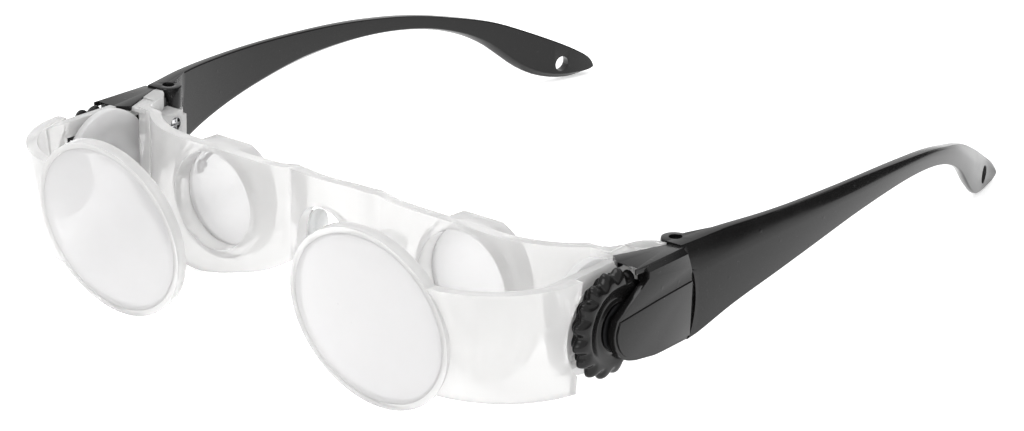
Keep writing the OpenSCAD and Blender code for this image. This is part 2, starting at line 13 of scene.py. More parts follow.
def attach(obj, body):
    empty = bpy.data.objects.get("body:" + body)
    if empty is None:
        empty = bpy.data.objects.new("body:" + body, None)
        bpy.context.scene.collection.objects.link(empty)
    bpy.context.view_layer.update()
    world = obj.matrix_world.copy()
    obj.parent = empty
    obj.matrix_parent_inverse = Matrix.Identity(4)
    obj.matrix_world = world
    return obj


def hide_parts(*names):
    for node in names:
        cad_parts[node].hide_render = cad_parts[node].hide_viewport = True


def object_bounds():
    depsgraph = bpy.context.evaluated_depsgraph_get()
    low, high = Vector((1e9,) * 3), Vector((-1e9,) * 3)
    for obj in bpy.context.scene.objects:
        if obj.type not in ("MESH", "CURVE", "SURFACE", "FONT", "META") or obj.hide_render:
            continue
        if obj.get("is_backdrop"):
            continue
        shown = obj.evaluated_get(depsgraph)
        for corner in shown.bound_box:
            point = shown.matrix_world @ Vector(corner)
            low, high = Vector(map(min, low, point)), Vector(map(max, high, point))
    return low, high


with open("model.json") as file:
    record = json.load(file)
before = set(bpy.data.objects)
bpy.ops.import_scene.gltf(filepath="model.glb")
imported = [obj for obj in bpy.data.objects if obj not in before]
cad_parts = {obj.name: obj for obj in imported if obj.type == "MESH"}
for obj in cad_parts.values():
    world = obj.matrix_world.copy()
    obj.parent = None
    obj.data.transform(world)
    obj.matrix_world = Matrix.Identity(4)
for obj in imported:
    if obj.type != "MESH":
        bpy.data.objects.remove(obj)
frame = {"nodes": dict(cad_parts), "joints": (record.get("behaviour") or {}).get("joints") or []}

log = logging.getLogger("binocular_glasses")

Point = tuple[float, float, float]
Flat = tuple[float, float]
Colour = tuple[float, float, float]
Place = Callable[[float, float, float], Point]
Socket = bpy.types.NodeSocket
Inputs = dict[str | int, object]
Thing = bpy.types.Object

MM = 0.001


class Side(Enum):
    """The wearer's left or right half."""

    LEFT = 1
    RIGHT = -1


class Shading(Enum):
    """How the faces of a piece are shaded: the angle in degrees from which an edge is crisp."""

    SMOOTH = 180.0
    CRISP = 30.0


class Boolean(Enum):
    """What a tool does to a piece."""

    ADD = "UNION"
    CUT = "DIFFERENCE"


class Slot(Enum):
    """The record's material slots."""

    CLEAR = "clear_plastic"
    LENS = "lens"
    SILICONE = "silicone"
    BLACK = "black_plastic"
    STEEL = "steel"
    DARK_STEEL = "dark_steel"


def find_datum() -> Flat:
    """The (depth, height) in metres of the drawing's zero, read from the left temple's hinge."""
    for joint in frame["joints"]:
        if joint["name"] == "temple_fold_left":
            return tuple(joint["pos_m"][1:])
    raise RuntimeError("the left temple's hinge is missing")


# Curves


def smooth_line(points: Sequence[Flat], steps: int) -> list[Flat]:
    """A smooth curve through flat points.

    Args:
        points: The points that the curve passes.
        steps: Pieces to each span.

    Returns:
        The curve's points in order.
    """
    made: list[Flat] = []
    last = len(points) - 1
    for i in range(last):
        a, b = points[max(i - 1, 0)], points[i]
        c, d = points[i + 1], points[min(i + 2, last)]
        for k in range(steps):
            t = k / steps
            made.append(tuple(
                0.5 * (2 * b[j] + (c[j] - a[j]) * t
                       + (2 * a[j] - 5 * b[j] + 4 * c[j] - d[j]) * t * t
                       + (3 * b[j] - a[j] - 3 * c[j] + d[j]) * t ** 3)
                for j in (0, 1)))
    made.append(points[last])
    return made


def height_at(line: Sequence[Flat], along: float) -> float:
    """Reads a height off a line, straight between its points.

    Args:
        line: Points as (along, height), in order.
        along: The place.

    Returns:
        The height there.
    """
    for a, b in zip(line, line[1:]):
        if a[0] <= along <= b[0]:
            share = (along - a[0]) / max(b[0] - a[0], 1e-9)
            return a[1] + (b[1] - a[1]) * share
    return line[0][1] if along < line[0][0] else line[-1][1]


def corner(centre: Flat, rx: float, ry: float, start: float, end: float, steps: int) -> list[Flat]:
    """Draws an elliptical corner.

    Args:
        centre: Its centre.
        rx: Its radius along the first coordinate.
        ry: Its radius along the second.
        start: The angle in degrees where it starts.
        end: The angle where it ends.
        steps: Pieces to draw.

    Returns:
        The corner's points in order.
    """
    made = []
    for k in range(steps + 1):
        a = math.radians(start + (end - start) * k / steps)
        made.append((centre[0] + rx * math.cos(a), centre[1] + ry * math.sin(a)))
    return made


def dome(radius: float, rise: float, steps: int) -> list[Flat]:
    """Draws the curve of a spherical cap.

    Args:
        radius: Radius of the cap's rim.
        rise: Height of its top above the rim.
        steps: Pieces to draw.

    Returns:
        Points as (radius, depth below the top), from the axis outwards.
    """
    big = (radius * radius + rise * rise) / (2 * rise)
    full = math.asin(radius / big)
    return [(big * math.sin(full * k / steps), big * (1 - math.cos(full * k / steps)))
            for k in range(steps + 1)]


# Meshes


def show(name: str, data: bpy.types.ID) -> Thing:
    """Puts an object in the scene.

    Args:
        name: Its name.
        data: Its mesh, camera or light.

    Returns:
        The object, at the origin.
    """
    made = bpy.data.objects.new(name, data)
    bpy.context.scene.collection.objects.link(made)
    return made


@dataclass(frozen=True)
class Rounding:
    """How sharp edges are rounded: width in millimetres, steps across, and from which angle in degrees."""

    width: float
    steps: int = 2
    angle: float = 35.0


@dataclass(frozen=True)
class Workshop:
    """Makes plain mesh objects for one side of the part, from drawing points.

    A drawing point is (outwards, back from the hinge axis, up from the wheel's axis) in millimetres.
    """

    datum: Flat
    side: Side
    copy_merge: float = 2e-6
    copy_flat: float = 0.6
    bar_steps: int = 64

    def row(self, p: Point) -> Vector:
        """A drawing point in the row frame, in metres."""
        return Vector((p[0] * MM * self.side.value, p[1] * MM + self.datum[0], p[2] * MM + self.datum[1]))

    def piece(self, name: str, points: Sequence[Point], faces: Sequence[Sequence[int]]) -> Thing:
        """Makes an object from drawing points.

        Args:
            name: The object's name.
            points: Its corners.
            faces: Corner numbers of each face.

        Returns:
            The new object at the origin, with its faces outwards.
        """
        mesh = bpy.data.meshes.new(name)
        mesh.from_pydata([self.row(p) for p in points], [], faces)
        made = show(name, mesh)
        self.heal(made)
        return made

    def heal(self, made: Thing, merge: float = 1e-7, flat: float = 0.0) -> None:
        """Merges doubles and turns the faces outwards.

        Args:
            made: The piece.
            merge: Corners closer than this, in metres, become one.
            flat: Neighbouring faces closer than this, in degrees, are joined; 0 joins none.
        """
        shape = bmesh.new()
        shape.from_mesh(made.data)
        bmesh.ops.remove_doubles(shape, verts=shape.verts, dist=merge)
        bmesh.ops.dissolve_degenerate(shape, dist=merge, edges=shape.edges)
        if flat:
            limit = math.radians(flat)
            bmesh.ops.dissolve_limit(shape, angle_limit=limit, verts=shape.verts, edges=shape.edges)
        bmesh.ops.recalc_face_normals(shape, faces=shape.faces)
        shape.to_mesh(made.data)
        shape.free()

    def loft(self, name: str, rings: Sequence[Sequence[Point]]) -> Thing:
        """Joins rings into a solid with capped ends.

        Args:
            name: The object's name.
            rings: Closed rings with equal counts of points, in order.

        Returns:
            The new object.
        """
        count = len(rings[0])
        points = [p for ring in rings for p in ring]
        faces: list[list[int]] = []
        for a in range(0, len(points) - count, count):
            for k in range(count):
                n = (k + 1) % count
                faces.append([a + k, a + n, a + count + n, a + count + k])
        faces += [list(range(count)), [len(points) - count + k for k in range(count)]]
        return self.piece(name, points, faces)

    def turned(self, name: str, profile: Sequence[Flat], place: Place, segments: int) -> Thing:
        """Turns a closed profile of (radius, height) points about an axis.

        Args:
            name: The object's name.
            profile: Points in order round the solid; a radius of 0 closes a pole.
            place: Puts (across, up, along the axis) into drawing coordinates.
            segments: Steps round the axis.

        Returns:
            The new object.
        """
        points: list[Point] = []
        for k in range(segments):
            a = 2 * math.pi * k / segments
            points += [place(r * math.cos(a), r * math.sin(a), height) for r, height in profile]
        rows = len(profile)
        last = rows if profile[0][0] > 0 else rows - 1
        faces: list[list[int]] = []
        for k in range(segments):
            a, b = k * rows, (k + 1) % segments * rows
            for r in range(last):
                n = (r + 1) % rows
                faces.append([a + r, b + r, b + n, a + n])
        return self.piece(name, points, faces)

    def bar(self, place: Place, radius: float, low: float, high: float) -> Thing:
        """A round bar for boolean work."""
        profile = [(0.0, low), (radius, low), (radius, high), (0.0, high)]
        return self.turned("bar", profile, place, self.bar_steps)

    def combine(self, made: Thing, tool: Thing, how: Boolean) -> None:
        """Applies one exact boolean and removes the tool.

        Args:
            made: The piece.
            tool: The shape that is added or cut away.
            how: Which of the two.
        """
        step = made.modifiers.new("step", "BOOLEAN")
        step.operation = how.value
        step.solver = "EXACT"
        step.object = tool
        self.bake(made)
        bpy.data.objects.remove(tool)

    def bake(self, made: Thing) -> None:
        """Turns an object's modifiers into its plain mesh."""
        bpy.context.view_layer.update()
        seen = made.evaluated_get(bpy.context.evaluated_depsgraph_get())
        mesh = bpy.data.meshes.new_from_object(seen)
        made.modifiers.clear()
        old = made.data
        made.data = mesh
        mesh.name = made.name
        bpy.data.meshes.remove(old)

    def soften(self, made: Thing, how: Rounding) -> None:
        """Rounds the sharp edges of a piece and shades it crisp.

        Args:
            made: The piece.
            how: The width, steps and angle of the rounding.
        """
        step = made.modifiers.new("soften", "BEVEL")
        step.width = how.width * MM
        step.segments = how.steps
        step.limit_method = "ANGLE"
        step.angle_limit = math.radians(how.angle)
        step.use_clamp_overlap = True
        step.miter_outer = "MITER_ARC"
        self.bake(made)
        self.shade(made, Shading.CRISP)

    def settle(self, made: Thing, place: Place) -> None:
        """Moves a piece that was made about the origin to its place in the drawing.

        Args:
            made: The piece.
            place: Puts its millimetres into drawing coordinates.
        """
        for vertex in made.data.vertices:
            vertex.co = self.row(place(*(vertex.co / MM)))
        self.heal(made)

    def shade(self, made: Thing, how: Shading) -> None:
        """Shades a piece smooth.

        Args:
            made: The piece.
            how: Whether edges stay crisp where its faces turn sharply.
        """
        mesh = made.data
        mesh.polygons.foreach_set("use_smooth", [True] * len(mesh.polygons))
        if how is Shading.CRISP:
            mesh.set_sharp_from_angle(angle=math.radians(how.value))
        mesh.update()

    def copy_of(self, node: str, name: str) -> Thing:
        """Copies a CAD node, heals it and joins its flat faces.

        Args:
            node: The node.
            name: The copy's name.

        Returns:
            The copy, at the origin.
        """
        source = frame["nodes"][node]
        mesh = source.data.copy()
        mesh.transform(source.matrix_world)
        mesh.materials.clear()
        made = show(name, mesh)
        self.heal(made, self.copy_merge, self.copy_flat)
        if mesh.attributes.get("custom_normal"):
            mesh.attributes.remove(mesh.attributes["custom_normal"])
        return made


# Node trees


class Wiring:
    """Short words for building a node tree."""

    def __init__(self, tree: bpy.types.NodeTree) -> None:
        """Keeps the tree that is being built."""
        self.tree = tree

    def add(self, kind: str, inputs: Inputs | None = None, **values: object) -> bpy.types.Node:
        """Adds a node.

        Args:
            kind: Blender's name for the kind of node.
            inputs: Its inputs, as feed takes them.
            values: Its properties by name.

        Returns:
            The node.
        """
        made = self.tree.nodes.new(kind)
        for key, value in values.items():
            setattr(made, key, value)
        self.feed(made, inputs or {})
        return made

    def join(self, source: Socket, target: Socket) -> None:
        """Links two sockets."""
        self.tree.links.new(source, target)

    def feed(self, node: bpy.types.Node, inputs: Inputs) -> None:
        """Links or sets a node's inputs.

        Args:
            node: The node.
            inputs: A socket or a plain value for each input, by the input's name or place.
        """
        for key, value in inputs.items():
            if isinstance(value, Socket):
                self.join(value, node.inputs[key])
            else:
                node.inputs[key].default_value = value

    def math(self, how: str, a: Socket | float, b: Socket | float = 0.0) -> Socket:
        """One sum of two sockets or numbers."""
        return self.add("ShaderNodeMath", {0: a, 1: b}, operation=how).outputs[0]

    def vector(self, x: Socket | float = 0.0, y: Socket | float = 0.0, z: Socket | float = 0.0) -> Socket:
        """A vector from its three parts."""
        return self.add("ShaderNodeCombineXYZ", {"X": x, "Y": y, "Z": z}).outputs[0]

    def noise(self, scale: float, detail: float, rough: float, place: Socket) -> Socket:
        """A noise pattern at a place."""
        inputs = {"Scale": scale, "Detail": detail, "Roughness": rough, "Vector": place}
        return self.add("ShaderNodeTexNoise", inputs).outputs["Fac"]

    def cells(self, scale: float, place: Socket) -> Socket:
        """How far a place is from the middle of the nearest of many scattered cells."""
        return self.add("ShaderNodeTexVoronoi", {"Scale": scale, "Vector": place}).outputs["Distance"]

    def ramp(self, value: Socket, low: float | Socket, high: float | Socket, out_low: float = 0.0,
             out_high: float = 1.0, curve: str = "LINEAR") -> Socket:
        """Maps a value from one range to another, held at the ends.

        Args:
            value: What is mapped.
            low: Where the range starts.
            high: Where it ends.
            out_low: The result at its start.
            out_high: The result at its end.
            curve: Blender's name for the way between them.

        Returns:
            The mapped value.
        """
        inputs = {"Value": value, "From Min": low, "From Max": high, "To Min": out_low, "To Max": out_high}
        return self.add("ShaderNodeMapRange", inputs, interpolation_type=curve).outputs["Result"]


class GeometryTree(Wiring):
    """A geometry node tree with named inputs, run once on an object and turned into a mesh."""

    def __init__(self, name: str, values: dict[str, float]) -> None:
        """Opens the tree.

        Args:
            name: The tree's name.
            values: Each input's name and value; a whole number makes a whole-number input.
        """
        super().__init__(bpy.data.node_groups.new(name, "GeometryNodeTree"))
        self.values = values
        face = self.tree.interface
        face.new_socket("Geometry", in_out="INPUT", socket_type="NodeSocketGeometry")
        for label, value in values.items():
            kind = "NodeSocketInt" if isinstance(value, int) else "NodeSocketFloat"
            face.new_socket(label, in_out="INPUT", socket_type=kind)
        face.new_socket("Geometry", in_out="OUTPUT", socket_type="NodeSocketGeometry")
        self.source = self.add("NodeGroupInput")
        self.target = self.add("NodeGroupOutput")

    def value(self, label: str) -> Socket:
        """The socket that carries a named input."""
        return self.source.outputs[label]

    def close(self, geometry: Socket, finish: bpy.types.Material) -> None:
        """Ends the tree in realised, finished geometry.

        Args:
            geometry: What the tree made.
            finish: Its material.
        """
        real = self.add("GeometryNodeRealizeInstances", {"Geometry": geometry})
        coat = self.add("GeometryNodeSetMaterial", {"Geometry": real.outputs["Geometry"], "Material": finish})
        self.join(coat.outputs["Geometry"], self.target.inputs["Geometry"])

    def run(self, shop: Workshop, made: Thing) -> None:
        """Runs the tree, with its inputs set by socket identifier.

        Args:
            shop: The workshop, which bakes the result.
            made: The object that it runs on.
        """
        step = made.modifiers.new("tree", "NODES")
        step.node_group = self.tree
        for item in self.tree.interface.items_tree:
            if item.item_type == "SOCKET" and item.in_out == "INPUT" and item.name in self.values:
                step[item.identifier] = self.values[item.name]
        shop.bake(made)


# Finishes


def shaded(colour: Colour, share: float) -> Colour:
    """A colour made darker by a share."""
    return tuple(part * share for part in colour)


class Surface(Wiring):
    """A material in the making, with its shader and the object coordinates."""

    def __init__(self, name: str, colour: Colour) -> None:
        """Opens a node material of one base colour.

        Args:
            name: The material's name.
            colour: The colour.
        """
        self.made = bpy.data.materials.new(name)
        self.made.use_nodes = True
        self.made.diffuse_color = (*colour, 1)
        super().__init__(self.made.node_tree)
        self.colour = colour
        self.shader = self.tree.nodes["Principled BSDF"]
        self.place = self.add("ShaderNodeTexCoord").outputs["Object"]
        self.feed(self.shader, {"Base Color": (*colour, 1)})

    def tint(self, share: Socket, other: Colour) -> None:
        """Mixes another colour into the base colour by a share."""
        inputs = {"A": (*self.colour, 1), "B": (*other, 1), "Factor": share}
        mix = self.add("ShaderNodeMix", inputs, data_type="RGBA")
        self.join(mix.outputs["Result"], self.shader.inputs["Base Color"])

    def bump(self, height: Socket, strength: float, depth: float) -> None:
        """Raises the surface by a pattern, to a depth in millimetres."""
        made = self.add("ShaderNodeBump", {"Strength": strength, "Distance": depth * MM, "Height": height})
        self.join(made.outputs["Normal"], self.shader.inputs["Normal"])


@dataclass(frozen=True)
class Finish:
    """What every finish has: a name, a base colour and a spread of roughness."""

    name: str
    colour: Colour
    rough_low: float = 0.3
    rough_high: float = 0.5

    def build(self) -> bpy.types.Material:
        """Makes the material."""
        surface = Surface(self.name, self.colour)
        self.dress(surface)
        return surface.made

    def roughen(self, surface: Surface, pattern: Socket, low: float, high: float) -> None:
        """Spreads the finish's roughness over a pattern's range."""
        rough = surface.ramp(pattern, low, high, self.rough_low, self.rough_high)
        surface.join(rough, surface.shader.inputs["Roughness"])

    def dress(self, surface: Surface) -> None:
        """Adds the finish's own detail."""
        raise NotImplementedError


@dataclass(frozen=True)
class ClearPlastic(Finish):
    """Moulded clear plastic: slightly milky, with flow waves, fine scuffs and dust, and a faint painted glow.
    """

    rough_low: float = 0.06
    rough_high: float = 0.16
    milk: float = 0.46
    wave: float = 0.18
    ior: float = 1.36
    bleed: float = 0.6
    bleed_reach: float = 0.005
    # Painted glow: the plastic emits a little of its own colour, which lightens its shaded hollows
    painted_glow: float = 0.04
    dust_shade: float = 0.72

    def dress(self, surface: Surface) -> None:
        """Adds the painted glow that lightens the shaded hollows, the scuffs, the dust and the flow waves."""
        place = surface.place
        # The emission is painted light: an even glow that lifts the plastic's shaded recesses, though the
        # part is no lamp
        surface.feed(surface.shader, {
            "Transmission Weight": 1 - self.milk, "IOR": self.ior, "Subsurface Weight": self.bleed,
            "Subsurface Scale": self.bleed_reach, "Subsurface Radius": (1.0, 1.0, 1.0),
            "Emission Color": (*self.colour, 1), "Emission Strength": self.painted_glow})
        self.roughen(surface, surface.noise(180.0, 4.0, 0.55, place), 0.35, 0.75)
        speck = surface.ramp(surface.cells(420.0, place), 0.03, 0.06, 1.0, 0.0)
        where = surface.ramp(surface.noise(60.0, 2.0, 0.5, place), 0.62, 0.66)
        surface.tint(surface.math("MULTIPLY", speck, where), shaded(self.colour, self.dust_shade))
        surface.bump(surface.noise(55.0, 2.0, 0.45, place), self.wave, 0.35)


@dataclass(frozen=True)
class PolishedPlastic(ClearPlastic):
    """The same plastic, polished into a lens."""

    rough_low: float = 0.01
    rough_high: float = 0.05
    wave: float = 0.02
    ior: float = 1.46


@dataclass(frozen=True)
class BlackPlastic(Finish):
    """Semi-gloss moulded plastic with orange peel, small pimples and a few pale dust grains."""

    rough_low: float = 0.13
    rough_high: float = 0.24
    relief: float = 0.24
    peel_share: float = 0.12
    ior: float = 1.34
    dusty: Colour = (0.03, 0.03, 0.031)

    def dress(self, surface: Surface) -> None:
        """Adds the dull clouds, the dust and the relief."""
        place = surface.place
        surface.feed(surface.shader, {"IOR": self.ior})
        self.roughen(surface, surface.noise(90.0, 5.0, 0.6, place), 0.3, 0.75)
        surface.tint(surface.ramp(surface.noise(2600.0, 2.0, 0.5, place), 0.68, 0.74), self.dusty)
        pimple = surface.ramp(surface.cells(230.0, place), 0.05, 0.1, 1.0, 0.0)
        peel = surface.math("MULTIPLY", surface.noise(1500.0, 2.0, 0.5, place), self.peel_share)
        surface.bump(surface.math("ADD", peel, pimple), self.relief, 0.08)


@dataclass(frozen=True)
class Steel(Finish):
    """Turned steel with fine lines and dull patches."""

    rough_low: float = 0.18
    rough_high: float = 0.38
    dull_shade: float = 0.7
    line_stretch: Point = (1.0, 1.0, 9.0)

    def dress(self, surface: Surface) -> None:
        """Adds the lines and the patches."""
        surface.feed(surface.shader, {"Metallic": 1.0})
        stretch = surface.add("ShaderNodeMapping", {"Scale": self.line_stretch, "Vector": surface.place})
        lines = surface.noise(900.0, 3.0, 0.6, stretch.outputs["Vector"])
        self.roughen(surface, lines, 0.3, 0.7)
        surface.tint(surface.noise(260.0, 3.0, 0.5, surface.place), shaded(self.colour, self.dull_shade))
        surface.bump(lines, 0.15, 0.02)


@dataclass(frozen=True)
class Silicone(Finish):
    """Soft clear rubber with a satin skin."""

    clearness: float = 0.7
    ior: float = 1.3
    patch_shade: float = 0.9

    def dress(self, surface: Surface) -> None:
        """Adds the skin and faint patches."""
        surface.feed(surface.shader, {"Transmission Weight": self.clearness, "IOR": self.ior})
        skin = surface.noise(1300.0, 4.0, 0.6, surface.place)
        self.roughen(surface, skin, 0.3, 0.7)
        surface.tint(surface.noise(200.0, 3.0, 0.5, surface.place), shaded(self.colour, self.patch_shade))
        surface.bump(skin, 0.2, 0.03)


@dataclass(frozen=True)
class PaleFloor(Finish):
    """The sheet that the part stands on, lit from below."""

    rough_low: float = 0.7
    rough_high: float = 0.8
    glow: float = 0.44
    gloss: float = 0.1

    def dress(self, surface: Surface) -> None:
        """Adds the light from below and a faint grain."""
        self.roughen(surface, surface.noise(40.0, 4.0, 0.5, surface.place), 0.3, 0.7)
        surface.feed(surface.shader, {"Specular IOR Level": self.gloss, "Emission Color": (1.0, 1.0, 1.0, 1),
                                      "Emission Strength": self.glow})


@dataclass(frozen=True)
class Look:
    """A finish and the record's slot that it stands for."""

    finish: bpy.types.Material
    slot: Slot


class Palette:
    """The looks of the part, each built once."""

    def __init__(self) -> None:
        """Builds every finish."""
        clear = ClearPlastic("clear_moulding", (0.775, 0.771, 0.767))
        cam = ClearPlastic("cam_moulding", (0.7, 0.697, 0.7), milk=0.7, wave=0.6)
        lens = PolishedPlastic("polished_lens", (0.665, 0.66, 0.663), milk=0.52)
        eyepiece = PolishedPlastic("polished_eyepiece", (0.76, 0.756, 0.758), milk=0.4)
        dark = Steel("blackened_steel", (0.012, 0.012, 0.013), 0.3, 0.5).build()
        self.clear = Look(clear.build(), Slot.CLEAR)
        self.cam = Look(cam.build(), Slot.CLEAR)
        self.lens = Look(lens.build(), Slot.LENS)
        self.eyepiece = Look(eyepiece.build(), Slot.LENS)
        self.black = Look(BlackPlastic("black_moulding", (0.006, 0.0058, 0.0058)).build(), Slot.BLACK)
        self.steel = Look(Steel("bright_steel", (0.74, 0.74, 0.75)).build(), Slot.STEEL)
        self.axle = Look(dark, Slot.DARK_STEEL)
        self.washer = Look(dark, Slot.STEEL)
        self.silicone = Look(Silicone("soft_silicone", (0.9, 0.91, 0.91)).build(), Slot.SILICONE)
        self.floor = PaleFloor("pale_floor", (0.94, 0.94, 0.94)).build()


# The part


@dataclass
class SubAssembly:
    """What every sub-assembly shares: the workshop, the palette and ways to hand pieces over."""

    shop: Workshop
    palette: Palette

    def node(self, stem: str) -> str:
        """The name of this side's node or body."""
        return f"{stem}_{self.shop.side.name.lower()}"

    def hand_over(self, made: Thing, look: Look, body: str, *nodes: str) -> None:
        """Gives a piece its look's finish and hands it over.

        Args:
            made: The piece.
            look: Its finish and material slot.
            body: The body that it rides on.
            nodes: The CAD nodes that it stands for.
        """
        made.data.materials.clear()
        made.data.materials.append(look.finish)
        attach(made, body)
        if nodes:
            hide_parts(*nodes)
        log.info("%s rides on %s", made.name, body)

    def softened(self, stem: str, ending: str, how: Rounding, look: Look, body: str) -> None:
        """Hands over a rounded copy of one of this side's CAD nodes.

        Args:
            stem: The node's name without its side.
            ending: What the piece's name ends in.
            how: How its edges are rounded.
            look: Its finish and material slot.
            body: The body that it rides on.
        """
        name = self.node(stem)
        made = self.shop.copy_of(name, f"{name}_{ending}")
        self.shop.soften(made, how)
        self.hand_over(made, look, body, name)


@dataclass(frozen=True)
class Seam:
    """The curved seam between the end piece and the temple, in drawing millimetres."""

    deepest: float = -2.95
    bend: float = 0.0265
    middle_z: float = -1.5
    half_height: float = 16.0
    steps: int = 48
    inner_x: float = 50.0
    outer_x: float = 82.0

    def depth(self, z: float) -> float:
        """Where the seam runs at a height."""
        return max(self.deepest, -self.bend * (z - self.middle_z) ** 2)

    def cutter(self, shop: Workshop, gap: float, far: float) -> Thing:
        """A block that is bounded by the seam on one side.

        Args:
            shop: The workshop.
            gap: How far behind the seam its face lies.
            far: Depth of its other face.

        Returns:
            The block, wide and high enough to cut right through.
        """
        top = self.half_height
        heights = [-top + 2 * top * k / self.steps for k in range(self.steps + 1)]
        outline = [(self.depth(z) + gap, z) for z in heights] + [(far, top), (far, -top)]
        rings = [[(x, y, z) for y, z in outline] for x in (self.inner_x, self.outer_x)]
        return shop.loft("seam", rings)


@dataclass(frozen=True)
class ArmSection:
    """The temple's cross-section: sizes in millimetres, shrunk where the arm is lower than full_height.

    The points below the band are (inwards, down) from its foot. The band's own points and whatever ends in
    share are shares: of its lean and height, of the arm's height or of its thickness.
    """

    full_height: float = 7.0
    band_share: float = 0.3
    band_lean: float = 1.5
    lean_share: float = 0.42
    below_band: tuple[Flat, ...] = ((0.0, 0.8), (0.03, 0.25))
    band_points: tuple[Flat, ...] = ((0.16, 0.84), (0.43, 0.56), (0.7, 0.28))
    top_r: float = 0.25
    inner_r: float = 0.35
    foot_r: float = 0.5
    foot_rise: float = 1.3
    heel_top: float = 0.8
    heel_lift: float = 0.2
    heel_wide: float = 0.7
    heel_high: float = 0.6
    heel_turn: float = -60.0
    sole_share: float = 0.45
    sole_lift: float = 0.05

    def ring(self, thick: float, top: float, foot: float) -> list[Flat]:
        """The outline at one place along the arm.

        Args:
            thick: The arm's thickness there.
            top: Height of its top.
            foot: Height of its foot.

        Returns:
            Points as (inwards from the outer face, height), round the arm.
        """
        fit = min(1.0, (top - foot) / self.full_height)
        band = self.band_share * (top - foot)
        lean = min(self.band_lean, thick * self.lean_share) * fit
        r_top, r_in, r_foot = self.top_r * fit, self.inner_r * fit, self.foot_r * fit
        wide, high = self.heel_wide * fit, self.heel_high * fit
        heel = foot + self.foot_rise * fit
        ring = corner((r_foot, foot + r_foot), -r_foot, -r_foot, 90, 0, 4)
        ring += [(u * fit, top - band - v * fit) for u, v in self.below_band]
        ring += [(u * lean, top - v * band) for u, v in self.band_points]
        ring += corner((lean + r_top, top - r_top), -r_top, r_top, 0, 90, 3)
        ring += corner((thick - r_in, top - r_in), r_in, r_in, 90, 0, 4)
        ring += [(thick, heel + self.heel_top * fit)]
        ring += corner((thick - wide, heel + self.heel_lift * fit), wide, high, 0, self.heel_turn, 3)
        ring += [(thick * self.sole_share, foot + self.sole_lift * fit)]
        return ring


